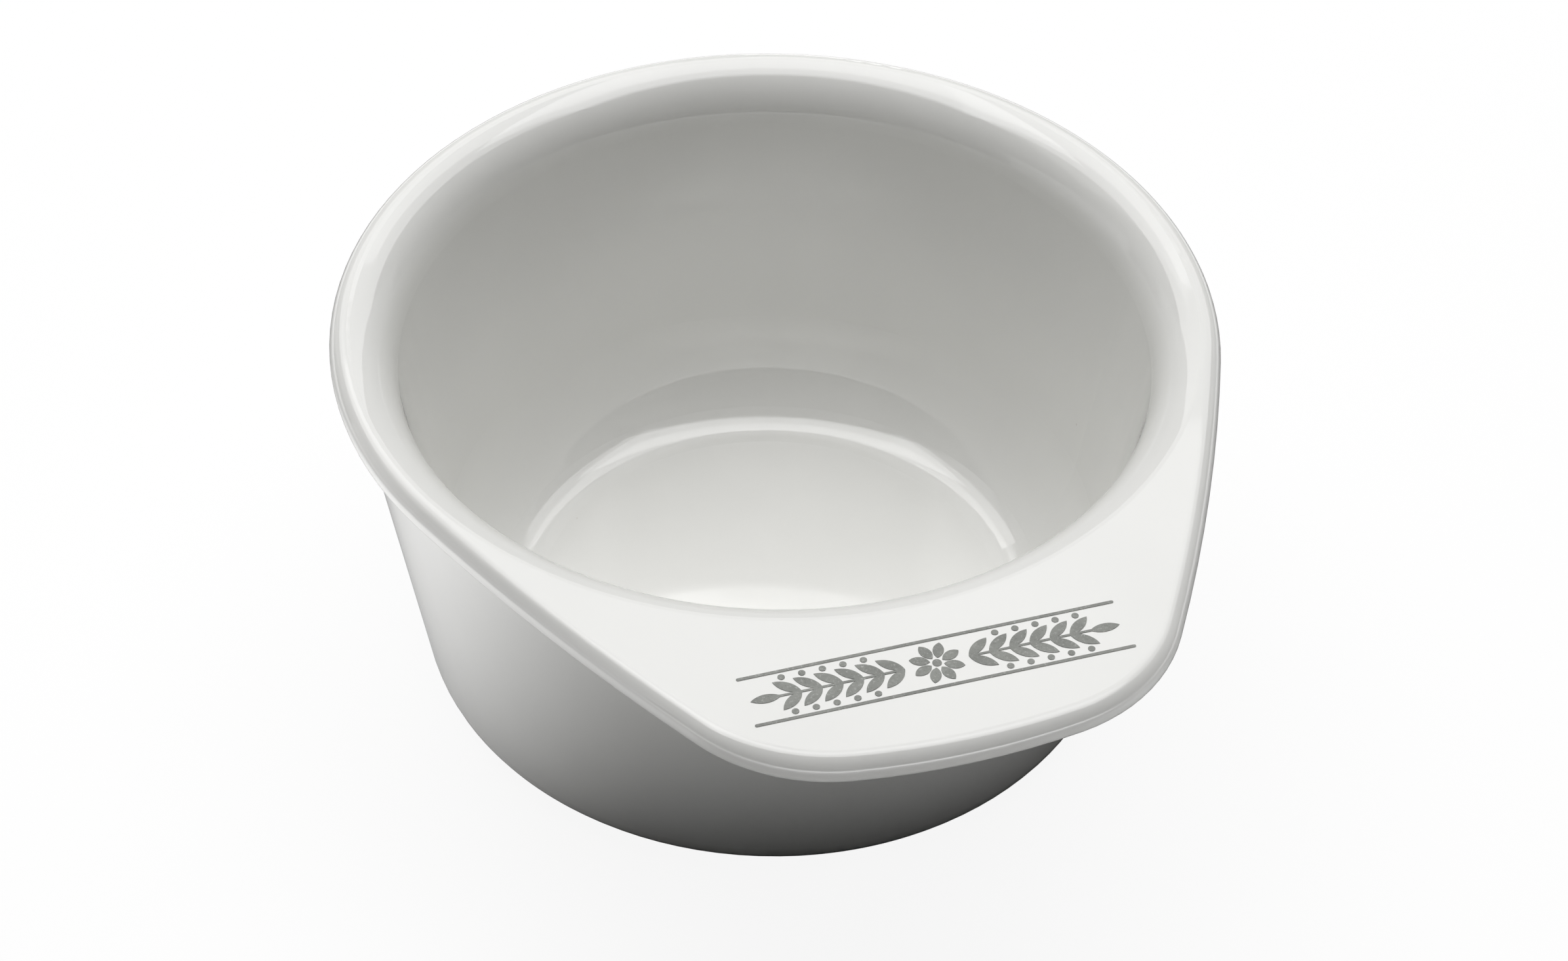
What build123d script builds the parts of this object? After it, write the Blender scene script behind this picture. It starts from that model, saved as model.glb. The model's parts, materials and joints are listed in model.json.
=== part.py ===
from build123d import *

import os
from math import atan2, cos, degrees, pi, radians, sin, sqrt, tan

os.makedirs("parts", exist_ok=True)

# Porcelain shaving bowl with a broad thumb plate. Millimetres, +Z up.
# Origin: the bowl's axis on the plane that it stands on. The thumb plate points along -Y.

# ---- driving dimensions ----
lip_r = 55.0             # outermost radius of the lip
lip_top = 53.0           # height of the lip and of the plate's top face
lip_round = 2.1          # full-round edge of the lip and the plate
neck_r = 52.4            # outside radius of the wall where it meets the lip
base_r = 44.2            # outside radius of the wall, carried down to the standing plane
base_round = 5.0         # radius between the wall and the underside
roll_r = 7.7             # radius that rolls from the lip down into the bowl
roll_centre_r = 54.4     # how far out the centre of that radius lies
floor_top = 4.3          # height of the inside floor
floor_r = 30.4           # radius of the flat floor
ease_r = 8.0             # radius that leads up from the flat floor
ease_turn = 40.0         # degrees through which it turns, before a wider radius goes on to the wall
foot_r = 39.4            # outside radius of the standing ring
foot_w = 3.2             # width of the standing ring
foot_h = 1.0             # how far the standing ring stands down from the underside
foot_round = 0.4         # rounding of the standing ring's edges
foot_neck_round = 0.3    # rounding where the standing ring meets the underside
ring_slope = 1.5         # how far the standing ring's inner side slopes in towards the hollow
recess_h = 1.3           # depth of the hollow inside the standing ring

plate_reach = 75.2       # from the bowl's axis to the plate's front edge
plate_leave = 67.5       # degrees from the plate's axis where its sides leave the lip's circle
corner_r = 22.2          # plan radius of the plate's two front corners
corner_along = 52.2      # centre of that radius along the plate's axis
corner_across = 10.15    # and to each side of it

glaze_t = 0.25           # thickness of the fired glaze
bare_foot_h = 0.5        # height of the unglazed band at the foot

ink_t = 0.06             # thickness of the fired-on ornament
ink_along = 62.0         # centre of the ornament along the plate's axis
ink_length = 45.2        # ornament from end to end
ink_height = 7.8         # ornament from rule to rule
rule_w = 0.42            # width of a rule
leaf_l = 3.6             # length of a leaf
leaf_w = 1.3             # width of a leaf
leaf_turn = 38.0         # degrees between a leaf and the stem
leaf_pairs = 7           # pairs of leaves on each sprig
stem_w = 0.32            # width of a sprig's stem
berry_r = 0.42           # radius of a berry
berry_out = 2.75         # from the stem to a berry's centre
rosette_petals = 8
petal_l = 2.4            # length of a petal
petal_w = 1.3            # width of a petal
petal_start = 0.8        # radius at which the petals start
rosette_eye_r = 0.55     # radius of the rosette's middle dot

# ---- values that follow from them ----
lip_mid = lip_top - lip_round
lip_low = lip_top - 2 * lip_round
crest_r = lip_r - lip_round
wall_tilt = atan2(neck_r - base_r, lip_low)
into_bowl = (-cos(wall_tilt), sin(wall_tilt))


# ---- the bowl ----
def roll_centre():
    """Centre of the roll: its arc and the lip's round touch each other without a corner."""
    apart = roll_r - lip_round
    return roll_centre_r, lip_mid - sqrt(apart ** 2 - (roll_centre_r - crest_r) ** 2)


def point_at(centre, direction, radius):
    return centre[0] + direction[0] * radius, centre[1] + direction[1] * radius


def arc(centre, radius, start, end):
    """Arc in the r-z plane from angle start to angle end, in radians."""
    angles = (start, (start + end) / 2, end)
    return ThreePointArc(*[point_at(centre, (cos(a), sin(a)), radius) for a in angles])


def cove():
    """Two arcs from the flat floor up to the inside wall, each as centre and radius.

    The first is tangent to the floor. The second is tangent to the first and to the wall, which runs
    down from the roll.
    """
    turn = radians(ease_turn)
    ease = (floor_r, floor_top + ease_r)
    joint = point_at(ease, (sin(turn), -cos(turn)), ease_r)
    roll_x, roll_z = roll_centre()
    wall_offset = into_bowl[0] * roll_x + into_bowl[1] * roll_z + roll_r
    from_wall = into_bowl[0] * joint[0] + into_bowl[1] * joint[1] - wall_offset
    wide_r = from_wall / (1 - sin(wall_tilt + turn))
    wide = point_at(joint, (-sin(turn), cos(turn)), wide_r)
    return (ease, ease_r), (wide, wide_r)


def bowl_profile(skin):
    """Half section of wall, floor, foot and lip out to the lip's crest, its surfaces set in by skin."""
    inward = atan2(into_bowl[1], into_bowl[0])
    crest = (crest_r, lip_mid)
    roll = roll_centre()
    touch = atan2(crest[1] - roll[1], crest[0] - roll[0])
    lip_arc = arc(crest, lip_round - skin, pi / 2, touch)
    roll_arc = arc(roll, roll_r - skin, touch, inward)
    (ease, small_r), (wide, wide_r) = cove()
    turn = 1.5 * pi + radians(ease_turn)
    wide_arc = arc(wide, wide_r + skin, inward + pi, turn)
    ease_arc = arc(ease, small_r + skin, turn, 1.5 * pi)

    wall_at = lambda z: base_r + tan(wall_tilt) * z - skin / cos(wall_tilt)
    low = lip_low + skin
    under = foot_h + skin
    hollow = recess_h + skin
    ring_in = foot_r - foot_w + skin
    ring_out = foot_r - skin
    corners = [
        ease_arc @ 1,
        (0, floor_top - skin),
        (0, hollow),
        (ring_in - ring_slope, hollow),
        (ring_in, 0),
        (ring_out, 0),
        (ring_out, under),
        (wall_at(under), under),
        (wall_at(low), low),
        (crest_r, low),
        lip_arc @ 0,
    ]
    wall = Line(roll_arc @ 1, wide_arc @ 0)
    section = make_face([lip_arc, roll_arc, wall, wide_arc, ease_arc, Polyline(*corners)])
    roundings = [
        (ring_in, 0, foot_round),
        (ring_out, 0, foot_round),
        (ring_out, under, foot_neck_round + skin),
        (wall_at(under), under, base_round - skin),
    ]
    for x, z, radius in roundings:
        section = fillet(section.vertices().sort_by_distance((x, z, 0))[0], radius)
    return section


def bowl(skin):
    return revolve(Plane.XZ * bowl_profile(skin), Axis.Z, 360)


# ---- the plate ----
def plate_arcs():
    """Arcs of the plate's edge on its left half, as centre, radius, start and end angle.

    Plan angles are counted from the plate's axis. Every arc touches the next one without a corner:
    the side touches the lip's circle and the corner, and the front touches the corner.
    """
    x, y, r = corner_along, corner_across, corner_r
    leave = radians(plate_leave)
    to_front = x - plate_reach
    front_r = (r ** 2 - y ** 2 - to_front ** 2) / (2 * (to_front + r))
    front = (plate_reach - front_r, 0.0)

    reach = x * cos(leave) + y * sin(leave)
    side_r = (r ** 2 - x ** 2 - y ** 2 + 2 * lip_r * reach - lip_r ** 2) / (2 * (reach - lip_r + r))
    side = (-(side_r - lip_r) * cos(leave), -(side_r - lip_r) * sin(leave))

    side_end = atan2(y - side[1], x - side[0])
    front_end = atan2(y - front[1], x - front[0])
    return [
        (side, side_r, leave, side_end),
        ((x, y), r, side_end, front_end),
        (front, front_r, front_end, 0.0),
    ]


def edge_arcs():
    """All arcs of the edge in plan, lip and plate, as centre, radius, start and sweep in degrees."""
    left = [((0.0, 0.0), lip_r, pi, radians(plate_leave))] + plate_arcs()
    arcs = []
    for (x, y), radius, start, end in left:
        for side in (1, -1):
            sweep = degrees(end - start) * side
            arcs.append(((x, y * side), radius, degrees(start) * side, sweep))
    return arcs


def on_plate_axis(shape):
    """From plan coordinates along the plate's axis to the bowl's, where the plate points along -Y."""
    return Rot(Z=-90) * shape


def round_edge(skin):
    """The full-round edge, outside the line of its crest, one turned piece for each arc."""
    radius = lip_round - skin
    pieces = []
    for (x, y), plan_r, start, sweep in edge_arcs():
        crest = plan_r - lip_round
        bulge = arc((crest, lip_mid), radius, -pi / 2, pi / 2)
        half_disc = make_face([bulge, Line(bulge @ 1, bulge @ 0)])
        turned = revolve(Plane.XZ * half_disc, Axis.Z, abs(sweep))
        turned = Rot(Z=start if sweep > 0 else start + sweep) * turned
        pieces.append(on_plate_axis(Pos(x, y) * turned))
    return pieces


def plate_core(skin):
    """The plate between the lip's crest circle and the crest line of its own edge."""
    edges = []
    for (x, y), plan_r, start, sweep in edge_arcs():
        if plan_r == lip_r:
            continue
        edges.append(CenterArc((x, y), plan_r - lip_round, start, sweep))
    edges.append(CenterArc((0, 0), crest_r, -plate_leave, 2 * plate_leave))
    outline = make_face(edges)
    thick = 2 * (lip_round - skin)
    return on_plate_axis(Pos(Z=lip_low + skin) * extrude(outline, thick))


def casting(skin):
    """The whole casting with its surfaces set in by skin, apart from the standing ring."""
    return bowl(skin).fuse(plate_core(skin), *round_edge(skin))


# ---- the ornament ----
def leaf(length, width):
    """A pointed leaf that starts at the origin and grows along +X."""
    half = width / 2
    upper = ThreePointArc((0, 0), (length / 2, half), (length, 0))
    lower = ThreePointArc((length, 0), (length / 2, -half), (0, 0))
    return make_face([upper, lower])


def rules():
    """A rule above and one below the garland, with round ends."""
    gap = ink_height / 2 - rule_w / 2
    return [Pos(0, side * gap) * SlotOverall(ink_length, rule_w) for side in (1, -1)]


def sprig(side):
    """A stem with pairs of leaves, growing away from the rosette, and berries between their tips."""
    start = petal_start + petal_l + 0.6
    end = ink_length / 2 - 0.6
    step = (end - start - leaf_l) / (leaf_pairs - 1)
    stem_l = end - start - leaf_l / 2
    shape = Pos(start + stem_l / 2, 0) * SlotOverall(stem_l, stem_w)
    shape += Pos(start + (leaf_pairs - 1) * step, 0) * leaf(leaf_l, leaf_w)
    for i in range(leaf_pairs - 1):
        foot = start + i * step
        for up in (1, -1):
            shape += Pos(foot, 0) * Rot(Z=up * leaf_turn) * leaf(leaf_l, leaf_w)
    tip = leaf_l * cos(radians(leaf_turn))
    shapes = [shape]
    for i in range(leaf_pairs - 2):
        between_tips = start + tip + (i + 0.5) * step
        for up in (1, -1):
            shapes.append(Pos(between_tips, up * berry_out) * Circle(berry_r))
    return [mirror(s, about=Plane.YZ) if side < 0 else s for s in shapes]


def rosette():
    """Pointed petals round a dot."""
    shapes = [Circle(rosette_eye_r)]
    for i in range(rosette_petals):
        turn = Rot(Z=360 / rosette_petals * (i + 0.5))
        shapes.append(turn * Pos(petal_start, 0) * leaf(petal_l, petal_w))
    return shapes


def inked(shapes):
    """Flat shapes laid on the plate's top face as thin solids."""
    solids = [extrude(s, ink_t) for s in shapes]
    return Pos(0, -ink_along, lip_top) * Compound(children=solids)


# ---- the nodes ----
raw = casting(glaze_t)
glazed = casting(0)
below = Pos(0, 0, bare_foot_h / 2) * Box(4 * lip_r, 4 * lip_r, bare_foot_h)

nodes = {
    "porcelain_body": raw,
    "glaze_coat": glazed - raw - below,
    "print_rules": inked(rules()),
    "print_sprig_left": inked(sprig(-1)),
    "print_sprig_right": inked(sprig(1)),
    "print_rosette": inked(rosette()),
}
for name, shape in nodes.items():
    export_step(shape, f"parts/{name}.step")
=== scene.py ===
"""Porcelain shaving bowl with a thumb plate: materials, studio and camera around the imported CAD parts."""

import json
from math import cos, radians, sin

import bpy
from mathutils import Matrix, Vector


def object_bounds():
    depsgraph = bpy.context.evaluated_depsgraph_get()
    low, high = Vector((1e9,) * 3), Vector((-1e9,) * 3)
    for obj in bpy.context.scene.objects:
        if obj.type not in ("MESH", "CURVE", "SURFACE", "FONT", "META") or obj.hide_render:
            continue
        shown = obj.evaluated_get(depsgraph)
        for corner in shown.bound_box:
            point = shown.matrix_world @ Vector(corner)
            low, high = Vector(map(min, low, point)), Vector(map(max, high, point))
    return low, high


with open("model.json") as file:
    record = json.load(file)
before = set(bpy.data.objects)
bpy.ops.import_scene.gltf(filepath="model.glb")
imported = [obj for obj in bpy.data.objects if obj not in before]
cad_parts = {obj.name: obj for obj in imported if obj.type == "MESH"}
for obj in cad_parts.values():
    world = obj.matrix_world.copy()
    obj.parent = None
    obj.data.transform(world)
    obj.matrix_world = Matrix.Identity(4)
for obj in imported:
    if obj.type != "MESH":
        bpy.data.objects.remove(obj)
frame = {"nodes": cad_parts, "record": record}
cad_low, cad_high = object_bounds()
LIP_R = cad_high.x           # the lip reaches further sideways than anything else

# ---- camera: distances follow from the lip's radius ----
VIEW_AZIMUTH = -18.09        # degrees, 0 looks along +Y
VIEW_ELEVATION = 43.09       # degrees above the floor
VIEW_ROLL = 1.38             # degrees
VIEW_DISTANCE = 9.547 * LIP_R
TARGET_RIGHT = 0.0269 * LIP_R
TARGET_UP = 0.4634 * LIP_R
SENSOR_MM = 36.0
LENS_MM = 94.19
CLIP_START = 0.01            # metres

# ---- studio: metres, degrees and watts ----
# Softboxes: name, degrees to the right of straight behind the bowl as the camera sees it, elevation,
# width, height, power.
LIGHT_DISTANCE = 0.90
SOFTBOXES = (
    ("key_softbox", 0.0, 62.5, 1.40, 1.24, 7.5),
    ("key_core", 0.0, 65.0, 0.80, 0.66, 1.5),
    ("top_softbox", 0.0, 85.0, 1.04, 0.48, 2.1),
    ("back_low_panel", 0.0, 15.0, 2.10, 0.42, 0.8),
    ("left_high_panel", -55.0, 56.0, 0.73, 0.52, 0.60),
    ("left_low_panel", -90.0, 12.0, 0.73, 0.32, 0.36),
)
# Bright patches that the floor shows to all but camera rays: right, away from the camera, radius,
# strength.
FLOOR_GLOWS = (
    (-0.125, -0.035, 0.11, 2.7),
    (0.00, -0.45, 0.35, 2.3),
    (0.30, -0.40, 0.30, 3.0),
    (0.13, -0.07, 0.10, 1.0),
)
SURROUND_FROM = 0.12         # the floor gets lighter from this distance from the bowl's axis
SURROUND_TO = 0.35
SURROUND_STRENGTH = 1.05
FLOOR_SIZE = 3.0
BOWL_FLOOR_ALBEDO = 0.16     # the floor as the bowl's reflections and bounce light meet it
CAMERA_FLOOR_ALBEDO = 0.09   # the floor as the camera sees it: this part of its white takes a shadow
CAMERA_FLOOR_GLOW = 0.91     # and this part doesn't

# ---- materials: linear colours, pattern scales in features per metre, bump distances in metres ----
NOISE_SPAN = (0.3, 0.7)                # holds most of a noise texture's values
NOISE_MIDDLE = (0.35, 0.65)            # narrower, for more contrast
GLAZE_DARKER = (0.789, 0.788, 0.766)
GLAZE_LIGHTER = (0.817, 0.816, 0.794)
GLAZE_ROUGHNESS = (0.03, 0.05)
GLAZE_IOR = 1.70
GLAZE_CLOUD_SCALE = 28.0
GLAZE_GLOSS_SCALE = 60.0
GLAZE_RIPPLE_SCALE = 45.0
GLAZE_RIPPLE_BUMP = (0.25, 0.0004)     # strength, distance
SPECK_COLOR = (0.42, 0.37, 0.30)
SPECK_SCALE = 95.0
SPECK_EDGE = (0.012, 0.020)            # from full colour to none, in cells
SPECK_COVER = 0.25

CLAY_COLOR = (0.76, 0.73, 0.67)
CLAY_STAIN_COLOR = (0.58, 0.53, 0.45)
CLAY_GRAIN_COLOR = (0.45, 0.42, 0.37)
CLAY_STAIN_EDGE = (0.45, 0.75)         # noise values from no stain to full stain
CLAY_GRAIN_EDGE = (0.55, 0.75)
CLAY_GRAIN_COVER = 0.35
CLAY_ROUGHNESS = (0.62, 0.80)
CLAY_GRAIN_SCALE = 1800.0
CLAY_STAIN_SCALE = 120.0
CLAY_GRAIN_BUMP = (0.5, 0.00008)

INK_DARKER = (0.175, 0.182, 0.165)
INK_LIGHTER = (0.235, 0.243, 0.222)
INK_THIN_COLOR = (0.62, 0.63, 0.60)    # where the glaze shows through
INK_THIN_EDGE = (0.56, 0.74)
INK_THIN_COVER = 0.55
INK_ROUGHNESS = (0.24, 0.38)
INK_COVER_SCALE = 2600.0
INK_PATCH_SCALE = 420.0
INK_COVER_BUMP = (0.3, 0.00003)


# ---- node helpers ----
def empty_material(name):
    """A node material that holds only its output: the material, its tree and the surface socket."""
    mat = bpy.data.materials.new(name)
    mat.use_nodes = True
    tree = mat.node_tree
    tree.nodes.clear()
    out = tree.nodes.new("ShaderNodeOutputMaterial")
    return mat, tree, out.inputs["Surface"]


def new_material(name):
    """A node material with a Principled shader on its surface: the material, its tree, the shader."""
    mat, tree, surface = empty_material(name)
    shader = tree.nodes.new("ShaderNodeBsdfPrincipled")
    tree.links.new(shader.outputs["BSDF"], surface)
    return mat, tree, shader


def object_coords(tree):
    return tree.nodes.new("ShaderNodeTexCoord").outputs["Object"]


def noise(tree, coords, scale, detail=2.0, rough=0.5):
    node = tree.nodes.new("ShaderNodeTexNoise")
    node.inputs["Scale"].default_value = scale
    node.inputs["Detail"].default_value = detail
    node.inputs["Roughness"].default_value = rough
    tree.links.new(coords, node.inputs["Vector"])
    return node.outputs["Fac"]


def remap(tree, value, from_low, from_high, to_low, to_high):
    """Turn the range from_low to from_high into to_low to to_high, and hold it at the ends."""
    node = tree.nodes.new("ShaderNodeMapRange")
    node.inputs["From Min"].default_value = from_low
    node.inputs["From Max"].default_value = from_high
    node.inputs["To Min"].default_value = to_low
    node.inputs["To Max"].default_value = to_high
    tree.links.new(value, node.inputs["Value"])
    return node.outputs["Result"]


def mix_color(tree, factor, a, b):
    """Colour a where factor is 0 and b where it is 1. Either can be a colour or a socket."""
    node = tree.nodes.new("ShaderNodeMix")
    node.data_type = "RGBA"
    tree.links.new(factor, node.inputs["Factor"])
    for key, value in (("A", a), ("B", b)):
        socket = next(s for s in node.inputs if s.name == key and s.type == "RGBA")
        if isinstance(value, tuple):
            socket.default_value = (*value, 1.0)
        else:
            tree.links.new(value, socket)
    return next(s for s in node.outputs if s.type == "RGBA")


def bump(tree, height, strength, distance):
    node = tree.nodes.new("ShaderNodeBump")
    node.inputs["Strength"].default_value = strength
    node.inputs["Distance"].default_value = distance
    tree.links.new(height, node.inputs["Height"])
    return node.outputs["Normal"]


# ---- materials ----
def white_glaze():
    """Clear glaze on white porcelain: faint cloudy tint, slow ripples and a few iron specks."""
    mat, tree, shader = new_material("white_glaze_fired")
    coords = object_coords(tree)
    cloud = noise(tree, coords, GLAZE_CLOUD_SCALE, detail=3.0)
    tint = mix_color(tree, remap(tree, cloud, *NOISE_MIDDLE, 0.0, 1.0), GLAZE_DARKER, GLAZE_LIGHTER)
    specks = tree.nodes.new("ShaderNodeTexVoronoi")
    specks.inputs["Scale"].default_value = SPECK_SCALE
    tree.links.new(coords, specks.inputs["Vector"])
    dot = remap(tree, specks.outputs["Distance"], *SPECK_EDGE, SPECK_COVER, 0.0)
    color = mix_color(tree, dot, tint, SPECK_COLOR)
    tree.links.new(color, shader.inputs["Base Color"])
    gloss = noise(tree, coords, GLAZE_GLOSS_SCALE, detail=4.0)
    tree.links.new(remap(tree, gloss, *NOISE_SPAN, *GLAZE_ROUGHNESS), shader.inputs["Roughness"])
    ripple = noise(tree, coords, GLAZE_RIPPLE_SCALE, detail=1.0)
    tree.links.new(bump(tree, ripple, *GLAZE_RIPPLE_BUMP), shader.inputs["Normal"])
    shader.inputs["IOR"].default_value = GLAZE_IOR
    return mat


def bare_porcelain():
    """Unglazed standing ring: matt, finely sanded, a little stained where it has stood in water."""
    mat, tree, shader = new_material("bare_porcelain_fired")
    coords = object_coords(tree)
    grain = noise(tree, coords, CLAY_GRAIN_SCALE, detail=3.0, rough=0.7)
    stain = noise(tree, coords, CLAY_STAIN_SCALE, detail=5.0)
    clay = mix_color(tree, remap(tree, stain, *CLAY_STAIN_EDGE, 0.0, 1.0), CLAY_COLOR, CLAY_STAIN_COLOR)
    dark_grain = remap(tree, grain, *CLAY_GRAIN_EDGE, 0.0, CLAY_GRAIN_COVER)
    color = mix_color(tree, dark_grain, clay, CLAY_GRAIN_COLOR)
    tree.links.new(color, shader.inputs["Base Color"])
    tree.links.new(remap(tree, grain, *NOISE_SPAN, *CLAY_ROUGHNESS), shader.inputs["Roughness"])
    tree.links.new(bump(tree, grain, *CLAY_GRAIN_BUMP), shader.inputs["Normal"])
    return mat


def ceramic_ink():
    """Grey ceramic ink, thin in places so that the white glaze shows through."""
    mat, tree, shader = new_material("ceramic_ink_fired")
    coords = object_coords(tree)
    cover = noise(tree, coords, INK_COVER_SCALE, detail=4.0, rough=0.65)
    patch = noise(tree, coords, INK_PATCH_SCALE)
    ink = mix_color(tree, remap(tree, patch, *NOISE_MIDDLE, 0.0, 1.0), INK_DARKER, INK_LIGHTER)
    thin = remap(tree, cover, *INK_THIN_EDGE, 0.0, INK_THIN_COVER)
    color = mix_color(tree, thin, ink, INK_THIN_COLOR)
    tree.links.new(color, shader.inputs["Base Color"])
    tree.links.new(remap(tree, cover, *NOISE_SPAN, *INK_ROUGHNESS), shader.inputs["Roughness"])
    tree.links.new(bump(tree, cover, *INK_COVER_BUMP), shader.inputs["Normal"])
    return mat


MATERIALS = {
    "white_glaze": white_glaze(),
    "bare_porcelain": bare_porcelain(),
    "ceramic_ink": ceramic_ink(),
}
NODE_SLOTS = {part["node"]: part["material_slot"] for part in frame["record"]["subparts"]}
for node, obj in frame["nodes"].items():
    obj.material_slots[0].material = MATERIALS[NODE_SLOTS[node]]


# ---- studio ----
def round_patch(tree, coords, x, y, near, far, inside, outside):
    """A strength that goes smoothly from inside to outside between two distances from a point."""
    away = tree.nodes.new("ShaderNodeVectorMath")
    away.operation = "DISTANCE"
    away.inputs[1].default_value = (x, y, 0.0)
    tree.links.new(coords, away.inputs[0])
    strength = remap(tree, away.outputs["Value"], near, far, inside, outside)
    strength.node.interpolation_type = "SMOOTHSTEP"
    return strength


def floor_light(tree):
    """How brightly the floor shines at the bowl: dark near it, lighter further out, with patches."""
    coords = object_coords(tree)
    total = round_patch(tree, coords, 0.0, 0.0, SURROUND_FROM, SURROUND_TO, 0.0, SURROUND_STRENGTH)
    for right, away, radius, strength in FLOOR_GLOWS:
        patch = round_patch(tree, coords, right, away, 0.0, radius, strength, 0.0)
        add = tree.nodes.new("ShaderNodeMath")
        tree.links.new(total, add.inputs[0])
        tree.links.new(patch, add.inputs[1])
        total = add.outputs[0]
    return total


def glow_and_diffuse(tree, albedo, glow):
    """A surface that both reflects light and shines. The glow is a number or a socket."""
    lit = tree.nodes.new("ShaderNodeBsdfDiffuse")
    lit.inputs["Color"].default_value = (albedo, albedo, albedo, 1.0)
    shine = tree.nodes.new("ShaderNodeEmission")
    if isinstance(glow, float):
        shine.inputs["Strength"].default_value = glow
    else:
        tree.links.new(glow, shine.inputs["Strength"])
    both = tree.nodes.new("ShaderNodeAddShader")
    tree.links.new(lit.outputs[0], both.inputs[0])
    tree.links.new(shine.outputs[0], both.inputs[1])
    return both.outputs[0]


def floor():
    """A pale floor. The camera sees it evenly white with a faint shadow; the bowl sees floor_light."""
    bpy.ops.mesh.primitive_plane_add(size=FLOOR_SIZE, rotation=(0, 0, radians(VIEW_AZIMUTH)))
    plane = bpy.context.object
    plane.name = "studio_floor"
    mat, tree, surface = empty_material("studio_floor")
    to_bowl = glow_and_diffuse(tree, BOWL_FLOOR_ALBEDO, floor_light(tree))
    to_camera = glow_and_diffuse(tree, CAMERA_FLOOR_ALBEDO, CAMERA_FLOOR_GLOW)
    path = tree.nodes.new("ShaderNodeLightPath")
    pick = tree.nodes.new("ShaderNodeMixShader")
    tree.links.new(path.outputs["Is Camera Ray"], pick.inputs["Fac"])
    tree.links.new(to_bowl, pick.inputs[1])
    tree.links.new(to_camera, pick.inputs[2])
    tree.links.new(pick.outputs[0], surface)
    plane.data.materials.append(mat)


def direction(azimuth, elevation):
    """Unit vector from the bowl towards a camera or light at that azimuth and elevation."""
    a, e = radians(azimuth), radians(elevation)
    return Vector((sin(a) * cos(e), -cos(a) * cos(e), sin(e)))


def softbox(name, azimuth, elevation, width, height, power):
    """A rectangular area light, LIGHT_DISTANCE from the bowl's axis at the floor and facing it."""
    light = bpy.data.lights.new(name, "AREA")
    light.shape = "RECTANGLE"
    light.size = width
    light.size_y = height
    light.energy = power
    obj = bpy.data.objects.new(name, light)
    towards = direction(azimuth, elevation)
    obj.location = towards * LIGHT_DISTANCE
    obj.rotation_euler = towards.to_track_quat("Z", "Y").to_euler()
    bpy.context.scene.collection.objects.link(obj)


def studio():
    """The floor and the softboxes, with no light from the world, in the plain Standard view."""
    floor()
    for name, right, elevation, width, height, power in SOFTBOXES:
        softbox(name, VIEW_AZIMUTH + 180 - right, elevation, width, height, power)
    world = bpy.data.worlds.new("studio_world")
    bpy.context.scene.world = world
    world.use_nodes = True
    world.node_tree.nodes["Background"].inputs["Strength"].default_value = 0.0
    bpy.context.scene.view_settings.view_transform = "Standard"


def camera():
    """The scene's camera, rolled by VIEW_ROLL, aimed to the right of the bowl's axis and above its foot."""
    data = bpy.data.cameras.new("photo_camera")
    data.sensor_fit = "HORIZONTAL"
    data.sensor_width = SENSOR_MM
    data.lens = LENS_MM
    data.clip_start = CLIP_START
    data.dof.use_dof = False
    obj = bpy.data.objects.new("photo_camera", data)
    back = direction(VIEW_AZIMUTH, VIEW_ELEVATION)
    a, roll = radians(VIEW_AZIMUTH), radians(VIEW_ROLL)
    level_right = Vector((cos(a), sin(a), 0))
    level_up = back.cross(level_right)
    right = level_right * cos(roll) + level_up * sin(roll)
    up = level_up * cos(roll) - level_right * sin(roll)
    place = level_right * TARGET_RIGHT + Vector((0, 0, TARGET_UP)) + back * VIEW_DISTANCE
    turn = Matrix((right, up, back)).transposed()
    obj.matrix_world = Matrix.Translation(place) @ turn.to_4x4()
    bpy.context.scene.collection.objects.link(obj)
    bpy.context.scene.camera = obj


camera()
studio()

bpy.context.view_layer.update()
